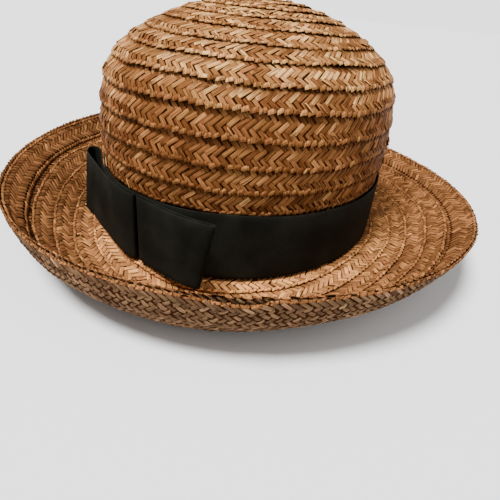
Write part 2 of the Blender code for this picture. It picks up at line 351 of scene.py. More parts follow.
class CrownSurface:
    """The crown's outer face, by direction and by length up from the foot."""

    def __init__(self):
        path = smooth_path([(row["radius"], row["height"]) for row in CROWN_PROFILE], 12)
        path[:, 0] = np.maximum(path[:, 0], 0.0)
        self.path = path
        self.lengths = lengths_along(path)
        ahead = unit(np.gradient(path, axis=0))
        self.normals = np.stack([ahead[:, 1], -ahead[:, 0]], axis=1)
        self.normals[-1] = (0.0, 1.0)
        self.top = self.lengths[-1]

    def length_at(self, height):
        return np.interp(height, self.path[:, 1], self.lengths)

    def between(self, up, heights):
        """How far up a place lies between two heights above the foot, from 0 to 1."""
        return ease(up, self.length_at(heights[0]), self.length_at(heights[1]))

    def radius(self, along):
        return np.interp(along, self.lengths, self.path[:, 0])

    def at(self, direction, along, stand_off):
        past = np.maximum(along - self.top, 0.0)
        along = np.clip(along, 0.0, self.top - past)
        height = np.interp(along, self.lengths, self.path[:, 1])
        out = np.interp(along, self.lengths, self.normals[:, 0])
        up = np.interp(along, self.lengths, self.normals[:, 1])
        spot = oval_point(np.maximum(self.radius(along) + stand_off * out, 0.0), direction)
        return np.column_stack([spot, FOOT_HEIGHT + height + stand_off * up])


def around(column, turn):
    """A column of BRIM_DIRECTIONS read at any angle, as the smoothest wave through its rows."""
    values = np.array([row[column] for row in BRIM_DIRECTIONS])
    count = len(values)
    waves = np.fft.rfft(values) / count
    total = waves[0].real
    for order in range(1, count // 2 + 1):
        weight = 1.0 if order == count // 2 else 2.0
        total += weight * (waves[order] * np.exp(1j * order * turn)).real
    return total


def brim_path(turn):
    """The brim's middle line at an angle: its foot, its direction, and distance out with height."""
    rim = np.array([RIM_HALF_WIDTH * math.cos(turn), RIM_HALF_LENGTH * math.sin(turn)])
    foot = oval_point(CROWN_PROFILE[0]["radius"] - CROWN_WALL, turn)
    reach = np.linalg.norm(rim - foot)
    low = around("low_height", turn)
    rise = around("rim_height", turn) - low
    power = 2 / around("fullness", turn)
    path = []
    for share in np.linspace(0.0, 1.0, 12, endpoint=False):
        height = -BRIM_MIDDLE_DROP + (low + BRIM_MIDDLE_DROP) * ease(share, 0.0, 1.0)
        path.append((reach * BRIM_FLAT_SHARE * share, height))
    for angle in np.linspace(0.0, math.pi / 2, 30):
        out = BRIM_FLAT_SHARE + (1 - BRIM_FLAT_SHARE) * math.sin(angle) ** power
        path.append((reach * out, low + rise * (1 - max(math.cos(angle), 0.0) ** power)))
    return foot, (rim - foot) / reach, np.array(path)


class BrimSurface:
    """The brim's middle, by direction and by length in from the rim, a little past both its edges."""

    overrun = 0.004

    def __init__(self):
        spots = []
        facings = []
        widths = []
        for spoke in range(BRIM_SPOKES):
            foot, outward, path = brim_path(FULL_TURN * spoke / BRIM_SPOKES)
            width = lengths_along(path)[-1]
            inner_end = path[0] - self.overrun * unit(path[1] - path[0])
            outer_end = path[-1] + self.overrun * unit(path[-1] - path[-2])
            path = np.vstack([inner_end, path, outer_end])
            lengths = lengths_along(path) - self.overrun
            stations = np.linspace(-self.overrun, width + self.overrun, BRIM_STATIONS)
            line = np.column_stack([np.interp(stations, lengths, path[:, k]) for k in range(2)])
            ahead = unit(np.gradient(line, axis=0))
            spots.append(np.column_stack([foot + line[:, :1] * outward, FOOT_HEIGHT + line[:, 1]]))
            facings.append(np.column_stack([-ahead[:, 1:] * outward, ahead[:, 0]]))
            widths.append(width)
        self.spots = np.array(spots + spots[:1])
        self.facings = np.array(facings + facings[:1])
        self.widths = np.array(widths + widths[:1])

    def width(self, direction):
        spoke = (np.asarray(direction) / FULL_TURN % 1.0) * BRIM_SPOKES
        return np.interp(spoke, np.arange(BRIM_SPOKES + 1), self.widths)

    def tuck(self, direction):
        """How far the rim's own plait lies in from the rim: most at the left."""
        return RIM_TUCK * stretch(direction, *RIM_TUCK_DIRECTIONS)

    def at(self, direction, from_rim, stand_off):
        spoke = (direction / FULL_TURN % 1.0) * BRIM_SPOKES
        width = self.width(direction)
        station = (width - from_rim + self.overrun) / (width + 2 * self.overrun) * (BRIM_STATIONS - 1)
        station = np.clip(station, 0.0, BRIM_STATIONS - 1.001)
        i = np.minimum(spoke.astype(int), BRIM_SPOKES - 1)
        j = station.astype(int)
        a = (spoke - i)[:, None]
        b = (station - j)[:, None]

        def mixed(grid):
            near = (1 - b) * grid[i, j] + b * grid[i, j + 1]
            far = (1 - b) * grid[i + 1, j] + b * grid[i + 1, j + 1]
            return (1 - a) * near + a * far

        return mixed(self.spots) + stand_off[:, None] * unit(mixed(self.facings))


class Winding:
    """A plait wound in turns over a surface. Turns are counted from the start direction.

    Its core narrows where the plait runs out of room, and comes to nothing, or to its least share of the
    plait's width, core_reach past that place.
    """

    start = BRIM_END_DIRECTION
    core_reach = 0.0
    least_core = 0.0

    def number(self, along):
        """Which turn a place along the plait lies in, counted with its share."""
        return np.interp(along, self.lengths, self.turns)

    def direction(self, number):
        return math.radians(self.start) + FULL_TURN * number

    def shade(self, along, across):
        """How much painted shade the plait has, from 0 to 1."""
        return np.zeros(len(along))

    def squeeze(self, along, across):
        """Where a point of the plait's core lies across it, narrower where there is less room."""
        _, short = self.room(along, 0.0 * across)
        return across * np.clip((short + self.core_reach) / self.sizes.plait_width, self.least_core, 1.0)


class CrownWinding(Winding):
    """The plait's spiral on the crown: from the top's middle, down and counter-clockwise from above."""

    start = FRONT_DIRECTION
    core_reach = -0.0004

    def __init__(self, sizes):
        self.sizes = sizes
        self.surface = CrownSurface()
        rows = [self.surface.length_at(height) for height in CROWN_ROWS_AT_FRONT]
        pitch = sizes.crown_pitch
        count_above = int((self.surface.top - rows[0]) / pitch) + 1
        above = rows[0] + pitch * np.arange(count_above, 0, -1)
        count_below = int(rows[-1] / pitch) + 3
        below = np.maximum(rows[-1] - pitch * np.arange(1, count_below + 1), 0.0)
        self.edges = np.concatenate([above, rows, below])
        self.numbers = np.arange(len(self.edges)) - count_above
        first = np.interp(-(self.surface.top - EYE_LENGTH), -self.edges, self.numbers)
        last = self.numbers[int(np.argmax(self.edges <= 0.0))] + 1.0
        self.turns = np.linspace(first, last, SPIRAL_STEPS)
        radius = self.surface.radius(self.edge(self.turns) + pitch / 2)
        oval = oval_point(1.0, self.direction(self.turns) + math.pi / 2)
        stride = FULL_TURN * np.maximum(radius, EYE_RADIUS) * np.linalg.norm(oval, axis=1)
        steps = np.diff(self.turns) * (stride[1:] + stride[:-1]) / 2
        self.lengths = np.concatenate([[0.0], np.cumsum(steps)])
        self.sway = Sway(11, ((0.009, 0.00010), (0.023, 0.00022), (0.061, 0.00030), (0.143, 0.00045)))
        self.lift = Sway(12, ((0.017, 0.00008), (0.037, 0.00014), (0.083, 0.00018)))

    def edge(self, number):
        return np.interp(number, self.numbers, self.edges)

    def at(self, along, across, off):
        """Where a point of the straight plait comes to lie on the crown."""
        sizes = self.sizes
        number = self.number(along)
        up = self.edge(number) + self.sway.at(along) + across
        flatter = self.surface.between(up, TOP_FLATTER)
        tilt = (1 - TOP_TILT_LOSS * flatter) * sizes.plait_thickness / sizes.crown_pitch
        curl = (1 - TOP_CURL_LOSS * flatter) * sizes.edge_curl + self.lift.at(along)
        middle = CROWN_EDGE_HEIGHT - TOP_DROP * flatter - tilt * across
        middle = middle + curl * fade(across, *CROWN_CURL_REACH)
        past_ribbon = up - self.surface.length_at(sizes.ribbon_width)
        middle = middle - BEHIND_RIBBON * fade(past_ribbon, -BEHIND_RIBBON_REACH, BEHIND_RIBBON_REACH)
        return self.surface.at(self.direction(number), up, middle + off)

    def shade(self, along, across):
        """How much painted shadow the plait has, from 0 to 1: most just under the row above."""
        number = self.number(along)
        up = self.edge(number) + self.sway.at(along) + across
        above = np.interp(number - 1, self.turns, self.lengths)
        below_cover = self.edge(number - 1) + self.sway.at(above) - up
        lighter = self.surface.between(up, TOP_LIGHTER)
        return (1 - TOP_SHADE_LOSS * lighter) * fade(below_cover, *CROWN_SHADE_REACH)

    def room(self, along, across):
        """How far up the crown a straw lies, and how far short of the top's middle."""
        up = self.edge(self.number(along)) + across
        return up, self.surface.top - up

    def paler(self, along, across):
        """How much paler the straws are painted, as painted light: most at the crown's top."""
        up, _ = self.room(along, across)
        return TOP_PAINTED_LIGHT * self.surface.between(up, TOP_PAINTED_LIGHT_REACH)


class BrimWinding(Winding):
    """The plait's spiral on the brim: from the foot out to the rim, counter-clockwise from above."""

    core_reach = 0.0002
    least_core = 0.02

    def __init__(self, sizes):
        self.sizes = sizes
        self.surface = BrimSurface()
        first = -self.surface.widths.max() / sizes.brim_pitch
        self.turns = np.linspace(first, BRIM_OVERRUN, SPIRAL_STEPS)
        direction = self.direction(self.turns)
        from_rim = self.from_rim(self.turns) + sizes.brim_pitch / 2
        inside_foot = np.minimum(from_rim, self.surface.width(direction))
        self.lengths = lengths_along(self.surface.at(direction, inside_foot, np.zeros(SPIRAL_STEPS)))
        self.sway = Sway(21, ((0.011, 0.00010), (0.027, 0.00018), (0.071, 0.00030), (0.163, 0.00040)))
        self.lift = Sway(22, ((0.017, 0.00006), (0.037, 0.00010), (0.083, 0.00012)))

    def from_rim(self, number):
        """How far in from the rim the plait's edge lies."""
        return np.maximum(-number, 0.0) * self.sizes.brim_pitch

    def gape(self, direction):
        """How far the two edges at the rim gape: most at one place at the front."""
        return stretch(direction, *RIM_GAPE_DIRECTIONS)

    def below_rim(self, direction):
        """How far the last turn's edge lies in from the rim."""
        groove = stretch(direction, *RIM_GROOVE_DIRECTIONS)
        return RIM_EDGE + RIM_GROOVE * groove + RIM_GAPE * self.gape(direction)

    def at(self, along, across, off):
        """Where a point of the straight plait comes to lie on the brim."""
        sizes = self.sizes
        number = self.number(along)
        direction = self.direction(number)
        last = ease(number, -0.05, 0.05)
        edge = np.maximum(-number * sizes.brim_pitch, last * self.below_rim(direction))
        from_rim = edge + across + self.sway.at(along) * (1 - BRIM_SWAY_LOSS * last)
        tilt = BRIM_TILT_SHARE * sizes.plait_thickness / sizes.brim_pitch
        curl = BRIM_CURL_SHARE * sizes.edge_curl * fade(across, 0.0, 0.004) * (1 - last)
        lift = self.lift.at(along) - RIM_GAPE_SINK * last * self.gape(direction)
        middle = BRIM_EDGE_HEIGHT - tilt * across + curl + lift * fade(across, *EDGE_LIFT_REACH)
        middle = middle - LAST_TURN_DROP * last
        middle = middle - RIM_COVER_SINK * fade(from_rim - self.surface.tuck(direction), *RIM_COVER_REACH)
        most = self.surface.width(direction) + 0.0005
        return self.surface.at(direction, np.minimum(from_rim, most), middle + off)

    def shade(self, along, across):
        """How much painted shade the plait has, from 0 to 1: most beside the next row, and beside the rim's
        own plait.
        """
        number = self.number(along)
        inner = np.interp(number - 1, self.turns, self.lengths)
        to_cover = self.sizes.brim_pitch + self.sway.at(inner) - self.sway.at(along) - across
        from_rim = self.from_rim(number) + across - self.surface.tuck(self.direction(number))
        beside_rim = RIM_SHADE * fade(from_rim, *RIM_SHADE_REACH)
        return BRIM_SHADE * np.maximum(fade(to_cover, *BRIM_SHADE_REACH), beside_rim)

    def room(self, along, across):
        """How far in from the rim a straw lies, and how far short of the crown's foot."""
        number = self.number(along)
        from_rim = self.from_rim(number) + across
        return from_rim, self.surface.width(self.direction(number)) - from_rim

    def paler(self, along, across):
        """How much paler the straws are painted, as painted light: most by the crown's foot."""
        _, short = self.room(along, across)
        return BRIM_PAINTED_LIGHT * fade(short, *BRIM_PAINTED_LIGHT_REACH)


class RimWinding(Winding):
    """One turn of plait over the rim's inner side, whose ends meet where the spiral ends."""

    def __init__(self, sizes, surface):
        self.sizes = sizes
        self.surface = surface
        self.turns = np.linspace(0.0, 1.0, RIM_STEPS)
        line = surface.at(self.direction(self.turns), np.full(RIM_STEPS, 0.006), np.zeros(RIM_STEPS))
        self.lengths = lengths_along(line)
        self.sway = Sway(31, ((0.013, 0.00008), (0.041, 0.00016), (0.118, 0.00025)))
        self.lift = Sway(32, ((0.021, 0.00006), (0.053, 0.00012)))

    def at(self, along, across, off):
        """Where a point of the straight plait comes to lie on the rim."""
        direction = self.direction(self.number(along))
        from_rim = across + 0.5 * np.abs(self.sway.at(along)) + self.surface.tuck(direction)
        middle = RIM_PLAIT_HEIGHT + self.lift.at(along) * fade(across, 0.0, 0.006)
        middle = middle - RIM_PLAIT_FAR_DROP * ease(across, 0.012, 0.0165)
        return self.surface.at(direction, from_rim, middle + off)

    def room(self, along, across):
        return across, np.full(len(along), 1.0)

    # The rim's own plait is painted a little darker all round, as painted shade
    def paler(self, along, across):
        return np.full(len(along), RIM_PLAIT_PAINTED_SHADE)


def deselect():
    bpy.ops.object.select_all(action="DESELECT")


def set_mode(mode):
    bpy.ops.object.mode_set(mode=mode)


def new_grid(name, along, across):
    """A flat grid of one unit each way, to be shaped into a piece."""
    deselect()
    bpy.ops.mesh.primitive_grid_add(x_subdivisions=along, y_subdivisions=across, size=1.0)
    bpy.context.object.name = name
    return bpy.context.object


def read_points(thing):
    flat = np.zeros(len(thing.data.vertices) * 3)
    thing.data.vertices.foreach_get("co", flat)
    return flat.reshape(-1, 3)


def write_points(thing, points):
    thing.data.vertices.foreach_set("co", points.ravel())
    thing.data.update()


def apply_modifier(thing, kind, **settings):
    bpy.context.view_layer.objects.active = thing
    modifier = thing.modifiers.new(kind.lower(), kind)
    for key, value in settings.items():
        setattr(modifier, key, value)
    bpy.ops.object.modifier_apply(modifier=modifier.name)


def pull(thing, test, move=(0, 0, 0), grow=(1, 1, 1)):
    """In edit mode, grows and moves the points that the test picks."""
    set_mode("OBJECT")
    for polygon in thing.data.polygons:
        polygon.select = False
    for edge in thing.data.edges:
        edge.select = False
    for vertex in thing.data.vertices:
        vertex.select = bool(test(vertex.co.x, vertex.co.y))
    set_mode("EDIT")
    bpy.ops.transform.resize(value=grow, center_override=(0, 0, 0))
    bpy.ops.transform.translate(value=move)


def model_straw(fold, fine=True):
    """One straw that shows, from -0.5 to 0.5 both ways: domed, its ends tucked down, closed below.

    A fold is a straw that turns over the plait's edge, which lies on its -Y side: widest there, with
    one end tucked under the next fold. Heights are in shares of a straw's height off the plait's middle.
    """
    straw = new_grid("straw", 3 if fine else 2, 3)
    set_mode("EDIT")
    bpy.ops.mesh.select_mode(type="VERT")
    pull(straw, lambda x, y: abs(x) < 0.3, grow=(2.3, 1, 1))
    if fold:
        pull(straw, lambda x, y: x < -0.45, move=(0, 0, -0.75))
        pull(straw, lambda x, y: x > 0.3, move=(0, 0, 0.30))
        pull(straw, lambda x, y: x > 0.45, move=(0, 0, -0.30))
        pull(straw, lambda x, y: y < -0.3, move=(0.0, 0.12, -0.9))
        pull(straw, lambda x, y: -0.3 < y < 0.0, move=(0.0, -0.30, 0.5))
        pull(straw, lambda x, y: 0.0 < y < 0.3, move=(0.06, 0.0, 1.35), grow=(0.84, 1, 1))
        pull(straw, lambda x, y: y > 0.3, move=(0.14, 0.0, 0.35), grow=(0.58, 1, 1))
    else:
        pull(straw, lambda x, y: abs(y) < 0.3, move=(0, 0, 1.0), grow=(1, 2.1, 1))
        pull(straw, lambda x, y: abs(y) > 0.4, move=(0, 0, 0.2))
        pull(straw, lambda x, y: abs(x) > 0.45, move=(0, 0, -1.1))
        pull(straw, lambda x, y: abs(x) > 0.45 and abs(y) > 0.4, move=(0, 0, 0.45), grow=(1, 0.94, 1))
    set_mode("EDIT")
    bpy.ops.mesh.select_all(action="DESELECT")
    bpy.ops.mesh.select_non_manifold()
    bpy.ops.mesh.edge_face_add()
    bpy.ops.mesh.select_all(action="SELECT")
    bpy.ops.mesh.normals_make_consistent(inside=False)
    set_mode("OBJECT")
    strand = np.array([tuple(corner.uv) for corner in straw.data.uv_layers[0].data])
    if fold:
        strand = np.column_stack([0.25 + 0.5 * strand[:, 1], strand[:, 0]])
    faces = [tuple(polygon.vertices) for polygon in straw.data.polygons]
    shape = {"points": read_points(straw), "faces": faces, "uv": strand}
    bpy.data.objects.remove(straw)
    return shape


def straw_patterns(fine=True):
    return {"float": model_straw(False, fine), "fold": model_straw(True, fine)}


def straws_of_column(column, winding, side, pattern, keep, seed):
    """The straws of one column, as points in the plait's own layout, with one tone for each straw, holding
    its painted light.
    """
    sizes = winding.sizes
    uneven = UNEVEN[column["kind"]]
    rng = np.random.default_rng(seed)
    count = int(winding.lengths[-1] / sizes.straw_pitch)
    along = (np.arange(count) + column["phase"]) * sizes.straw_pitch
    along = along + rng.normal(0, UNEVEN_ALONG, count)
    across = column["from_edge"] + rng.normal(0, uneven["across"], count)
    spot = across if side > 0 else sizes.plait_width - across
    kept = keep(*winding.room(along, spot)) & (rng.random(count) < column["share"])
    # Each straw's tone: at random, plus the painted light of its place and of its column
    tone = rng.random(count) + winding.paler(along, spot) + column["pale"]
    # Painted glints: a few straws at random are painted brighter
    tone = tone + uneven["bright"] * (rng.random(count) < BRIGHT_CHANCE)
    lean = np.radians(column["lean"] + rng.normal(0, uneven["lean"], count))
    length = column["length"] * rng.normal(1.0, uneven["length"], count)
    width = column["width"] * rng.normal(MEAN_WIDTH, uneven["width"], count)
    height = column["height"] * sizes.straw_height * rng.normal(1.0, UNEVEN_HEIGHT, count)
    roll = rng.normal(0, UNEVEN_ROLL, count)
    points = pattern["points"]
    x = points[None, :, 0] * length[:, None]
    y = points[None, :, 1] * width[:, None]
    h = points[None, :, 2] * height[:, None] + points[None, :, 1] * roll[:, None] * 2
    if column["from_edge"] > sizes.plait_width / 2 and column["kind"] == "fold":
        x = -x
        y = -y
    run = along[:, None] + x * np.cos(lean)[:, None] - y * np.sin(lean)[:, None]
    over = across[:, None] + x * np.sin(lean)[:, None] + y * np.cos(lean)[:, None]
    return run[kept], over[kept], h[kept], tone[kept]


def plait_straws(winding, side, straw_table, keep, patterns, seed):
    """All the straws on one face of a plait, wound in place, a group for each column."""
    groups = []
    for number, column in enumerate(straw_table):
        pattern = patterns[column["kind"]]
        run, over, height, tone = straws_of_column(column, winding, side, pattern, keep, seed + number)
        across = over if side > 0 else winding.sizes.plait_width - over
        placed = winding.at(run.ravel(), across.ravel(), side * height.ravel())
        # Painted shade, on the outer face only
        shade = winding.shade(run.ravel(), across.ravel()) if side > 0 else np.zeros(run.size)
        groups.append({"points": placed, "tone": tone, "shade": shade, "shape": pattern})
    return groups


def mesh_of_straws(name, groups, material):
    """One object from many straws, with the strand map, a tone for each straw with its painted light, and
    the painted shade on it.
    """
    faces = []
    start = 0
    for group in groups:
        size = len(group["shape"]["points"])
        for base in range(start, start + len(group["points"]), size):
            faces.extend([tuple(base + v for v in face) for face in group["shape"]["faces"]])
        start += len(group["points"])
    corners = np.concatenate([group["points"] for group in groups])
    strands = np.concatenate([np.tile(group["shape"]["uv"], (len(group["tone"]), 1)) for group in groups])
    tones = [np.repeat(group["tone"], len(group["shape"]["points"])) for group in groups]
    shades = [group["shade"] for group in groups]
    mesh = bpy.data.meshes.new(name)
    mesh.from_pydata(corners.tolist(), [], faces)
    layer = mesh.uv_layers.new(name="strand")
    layer.data.foreach_set("uv", strands.astype(np.float32).ravel())
    for key, values in (("tone", tones), ("shade", shades)):
        attribute = mesh.attributes.new(key, "FLOAT", "POINT")
        attribute.data.foreach_set("value", np.concatenate(values).astype(np.float32))
    mesh.materials.append(material)
    mesh.shade_smooth()
    thing = bpy.data.objects.new(name, mesh)
    bpy.context.scene.collection.objects.link(thing)
    return thing


def plait_core(name, winding, material):
    """The plait's middle: a thin strip that follows it, seen only as the dark between the straws, painted as
    shade.
    """
    sizes = winding.sizes
    inset = 0.0013
    core = new_grid(name, int(winding.lengths[-1] / sizes.core_step), 4)
    flat = read_points(core)
    along = (flat[:, 0] + 0.5) * winding.lengths[-1]
    across = inset + (flat[:, 1] + 0.5) * (sizes.plait_width - 2 * inset)
    write_points(core, winding.at(along, winding.squeeze(along, across), np.zeros(len(flat))))
    apply_modifier(core, "SOLIDIFY", thickness=sizes.core_thickness, offset=0.0)
    core.data.materials.append(material)
    core.data.shade_smooth()
    return core


def join(name, pieces):
    deselect()
    for piece in pieces:
        piece.select_set(True)
    bpy.context.view_layer.objects.active = pieces[0]
    bpy.ops.object.join()
    joined = bpy.context.object
    joined.name = name
    joined.data.name = name
    return joined


# Materials


class Nodes:
    """Short ways to add nodes to one tree. Most of them give the socket that carries the result."""

    def __init__(self, tree):
        self.tree = tree

    def fill(self, node, inputs):
        """Sets a node's inputs to values, or links them from other sockets."""
        for key, value in inputs.items():
            if isinstance(value, bpy.types.NodeSocket):
                self.tree.links.new(value, node.inputs[key])
            else:
                node.inputs[key].default_value = value

    def add(self, kind, inputs=None, **settings):
        node = self.tree.nodes.new(kind)
        for key, value in settings.items():
            setattr(node, key, value)
        self.fill(node, inputs or {})
        return node

    def calc(self, operation, *values):
        return self.add("ShaderNodeMath", dict(enumerate(values)), operation=operation).outputs[0]

    def mix(self, share, first, second, **settings):
        inputs = {"Factor": share, "A": first, "B": second}
        return self.add("ShaderNodeMix", inputs, data_type="RGBA", **settings).outputs[2]

    def step(self, value, low, high):
        """0 below low, 1 above high, and smooth between them."""
        inputs = {"Value": value, "From Min": low, "From Max": high}
        return self.add("ShaderNodeMapRange", inputs, interpolation_type="SMOOTHSTEP").outputs["Result"]

    def noise(self, place, scale, detail, roughness=0.5):
        inputs = {"Vector": place, "Scale": scale, "Detail": detail, "Roughness": roughness}
        return self.add("ShaderNodeTexNoise", inputs).outputs["Fac"]

    def position(self):
        return self.add("ShaderNodeTexCoord").outputs["Object"]

    def map_parts(self, name):
        """The two ways along a UV map."""
        place = self.add("ShaderNodeUVMap", uv_map=name).outputs["UV"]
        parts = self.add("ShaderNodeSeparateXYZ", {"Vector": place}).outputs
        return parts["X"], parts["Y"]

    def attribute(self, name):
        return self.add("ShaderNodeAttribute", attribute_name=name).outputs["Fac"]

    def scaled_place(self, places, scales):
        """A place from three numbers, each times its scale."""
        parts = {axis: self.calc("MULTIPLY", *pair) for axis, pair in zip("XYZ", zip(places, scales))}
        return self.add("ShaderNodeCombineXYZ", parts).outputs[0]

    def spread(self, value, gain, base):
        """The base, raised or lowered by how far a value lies from a half."""
        return self.calc("MULTIPLY_ADD", self.calc("SUBTRACT", value, 0.5), gain, base)

    def off_middle(self, value):
        """0 at a half, and 1 at both 0 and 1."""
        return self.calc("ABSOLUTE", self.calc("MULTIPLY_ADD", value, 2.0, -1.0))

    def ridges(self, value, pitch):
        """Waves from 0 to 1, one for each pitch."""
        phase = self.calc("MULTIPLY", value, FULL_TURN / pitch)
        return self.calc("MULTIPLY_ADD", self.calc("SINE", phase), 0.5, 0.5)

    def bump(self, height, strength, distance):
        inputs = {"Height": height, "Strength": strength, "Distance": distance}
        return self.add("ShaderNodeBump", inputs).outputs["Normal"]


def new_material(name):
    material = bpy.data.materials.new(name)
    material.use_nodes = True
    nodes = Nodes(material.node_tree)
    nodes.tree.nodes.clear()
    shader = nodes.add("ShaderNodeBsdfPrincipled")
    nodes.add("ShaderNodeOutputMaterial", {"Surface": shader.outputs["BSDF"]})
    return material, nodes, shader


def named_material(name, make, look):
    """The material of this name, made if it isn't there yet."""
    return bpy.data.materials.get(name) or make(name, look)


def opaque(colour, gain=1.0):
    """A colour with full alpha, paler or darker by a gain."""
    return (*(min(1.0, gain * c) for c in colour), 1.0)


STRAW_COLOURS = ("Bright", "Light", "Middle", "Dark", "Gap")
REDDER_STAIN = (1.0, 0.945, 0.94, 1.0)
GREENER_STAIN = (0.95, 0.99, 0.88, 1.0)


def strand_group():
    """The look of one flat straw: its tone, its fibres and splits, and its edges painted dark as shade."""
    made = bpy.data.node_groups.get("Flat straw")
    if made:
        return made
    group = bpy.data.node_groups.new("Flat straw", "ShaderNodeTree")
    for name in STRAW_COLOURS:
        group.interface.new_socket(name, in_out="INPUT", socket_type="NodeSocketColor")
    group.interface.new_socket("Roughness", in_out="INPUT", socket_type="NodeSocketFloat")
    for name, kind in (("Colour", "Color"), ("Roughness", "Float"), ("Height", "Float")):
        group.interface.new_socket(name, in_out="OUTPUT", socket_type="NodeSocket" + kind)
    nodes = Nodes(group)
    given = nodes.add("NodeGroupInput").outputs
    run, cross = nodes.map_parts("strand")
    tone = nodes.attribute("tone")
    fibre = nodes.noise(nodes.scaled_place((run, cross, tone), (0.9, 9.0, 57.0)), 1.6, 3.0, 0.6)
    split_noise = nodes.noise(nodes.scaled_place((run, cross, tone), (0.45, 2.6, 131.0)), 1.0, 1.0)
    split_near = nodes.calc("ABSOLUTE", nodes.calc("SUBTRACT", split_noise, 0.5))
    split = nodes.calc("SUBTRACT", 1.0, nodes.step(split_near, 0.008, 0.03))
    patch = nodes.noise(nodes.position(), 28.0, 2.0)
    level = nodes.spread(patch, 0.7, nodes.spread(fibre, 1.4, nodes.spread(tone, 0.55, 0.5)))
    face = nodes.mix(nodes.step(level, 0.0, 0.5), given["Dark"], given["Middle"])
    face = nodes.mix(nodes.step(level, 0.45, 0.95), face, given["Light"])
    face = nodes.mix(nodes.step(level, 0.85, 1.35), face, given["Bright"])
    hue = nodes.calc("FRACT", nodes.calc("MULTIPLY", tone, 37.0))
    face = nodes.mix(1.0, face, nodes.mix(hue, REDDER_STAIN, GREENER_STAIN), blend_type="MULTIPLY")
    # Painted shade: the straws' sides and ends are painted towards the gap colour; the splits are the
    # straw's own
    side = nodes.step(nodes.off_middle(cross), 0.36, 0.64)
    end = nodes.step(nodes.off_middle(run), 0.82, 0.98)
    dim = nodes.calc("MAXIMUM", nodes.calc("MAXIMUM", side, end), nodes.calc("MULTIPLY", split, 0.6))
    # Painted shadow where the shade attribute says: just under the rows above
    dim = nodes.calc("MAXIMUM", dim, nodes.calc("MULTIPLY", nodes.attribute("shade"), 0.95))
    results = {
        "Colour": nodes.mix(dim, face, given["Gap"]),
        "Roughness": nodes.spread(fibre, 0.35, given["Roughness"]),
        "Height": nodes.calc("SUBTRACT", fibre, nodes.calc("MULTIPLY", split, 0.5)),
    }
    nodes.add("NodeGroupOutput", results)
    return group


def straw_material(name, shades, gap, roughness):
    """Flat straw in four shades, from the brightest to the darkest, with dark gaps."""
    material, nodes, shader = new_material(name)
    inputs = {key: opaque(colour) for key, colour in zip(STRAW_COLOURS, (*shades, gap))}
    inputs["Roughness"] = roughness
    strand = nodes.add("ShaderNodeGroup", inputs, node_tree=strand_group()).outputs
    inputs = {
        "Base Color": strand["Colour"],
        "Roughness": strand["Roughness"],
        "Normal": nodes.bump(strand["Height"], 0.45, 0.00022),
        "Specular IOR Level": 0.01,
        "Specular Tint": (1.0, 0.82, 0.62, 1.0),
    }
    nodes.fill(shader, inputs)
    return material


def core_material(name, colour):
    """The shaded inner straw that shows between the others, painted dark as shade."""
    material, nodes, shader = new_material(name)
    noise = nodes.noise(nodes.position(), 420.0, 2.0)
    inputs = {
        "Base Color": nodes.mix(noise, opaque(colour, 0.5), opaque(colour)),
        "Roughness": 0.9,
        "Normal": nodes.bump(noise, 0.5, 0.0003),
        "Specular IOR Level": 0.02,
    }
    nodes.fill(shader, inputs)
    return material


def ribbon_material(name, look):
    """Black grosgrain: fine ribs straight across the ribbon, a soft sheen, and rib crests painted paler in
    patches as a painted highlight.
    """
    material, nodes, shader = new_material(name)
    along, across = nodes.map_parts("cloth")
    rib = nodes.ridges(along, look.rib_pitch)
    thread = nodes.ridges(across, 0.45 * look.rib_pitch)
    patch = nodes.noise(nodes.position(), 55.0, 3.0)
    # Painted highlight: the ribs' crests are painted paler where the patches are high
    painted_rib_highlight = nodes.calc("MULTIPLY", rib, nodes.step(patch, 0.3, 0.75))
    inputs = {
        "Base Color": nodes.mix(painted_rib_highlight, opaque(look.ribbon_colour), opaque(look.ribbon_colour, 2.8)),
        "Roughness": nodes.calc("MULTIPLY_ADD", patch, 0.2, 0.62),
        "Normal": nodes.bump(nodes.calc("MULTIPLY_ADD", thread, 0.25, rib), 0.55, 0.00016),
        "Specular IOR Level": 0.03,
        "Sheen Weight": 0.001,
        "Sheen Roughness": 0.5,
    }
    nodes.fill(shader, inputs)
    return material


def floor_material(name, look):
    material, nodes, shader = new_material(name)
    noise = nodes.noise(nodes.position(), 3.0, 2.0)
    colour = nodes.mix(noise, opaque(look.floor_colour, 0.985), opaque(look.floor_colour))
    nodes.fill(shader, {"Base Color": colour, "Roughness": 0.9, "Specular IOR Level": 0.1})
    return material


def crown_straw(name, look):
    shades = (look.straw_bright, look.straw_light, look.straw_middle, look.straw_dark)
    return straw_material(name, shades, look.gap_colour, 0.46)


def brim_shades(look):
    return (look.brim_bright, look.brim_light, look.brim_middle, look.brim_dark)


def brim_straw(name, look):
    return straw_material(name, brim_shades(look), look.brim_gap, 0.5)


def shaded_under_straw(name, look):
    """The brim's straw, greyed, and darkened with painted shade for the underside."""
    kept = 0.70
    dim = (0.66, 0.70, 0.64)
    shades = []
    for shade in brim_shades(look):
        grey = (1 - kept) * sum(shade) / 3
        shades.append([share * (kept * part + grey) for share, part in zip(dim, shade)])
    return straw_material(name, shades, look.brim_gap, 0.6)


# Ribbon


def band_middle_radius():
    """The mean radius of the solid band's middle."""
    crown = CrownSurface()
    radii = [np.interp(height, crown.path[:, 1], crown.path[:, 0]) for height in (0.0, RIBBON_WIDTH)]
    return max(radii) + TOUCH_GAP + BAND_HALF_WALL


def ribbon_strip(name, length_steps, cross_steps, length, width):
    """A flat strip of ribbon with the cloth map in metres, and its points' shares along and across."""
    strip = new_grid(name, length_steps, cross_steps)
    layer = strip.data.uv_layers[0]
    layer.name = "cloth"
    flat = np.zeros(len(layer.data) * 2, np.float32)
    layer.data.foreach_get("uv", flat)
    flat = flat.reshape(-1, 2) * np.array([length, width], np.float32)
    layer.data.foreach_set("uv", flat.ravel())
    places = read_points(strip)
    return strip, places[:, 0] + 0.5, places[:, 1] + 0.5


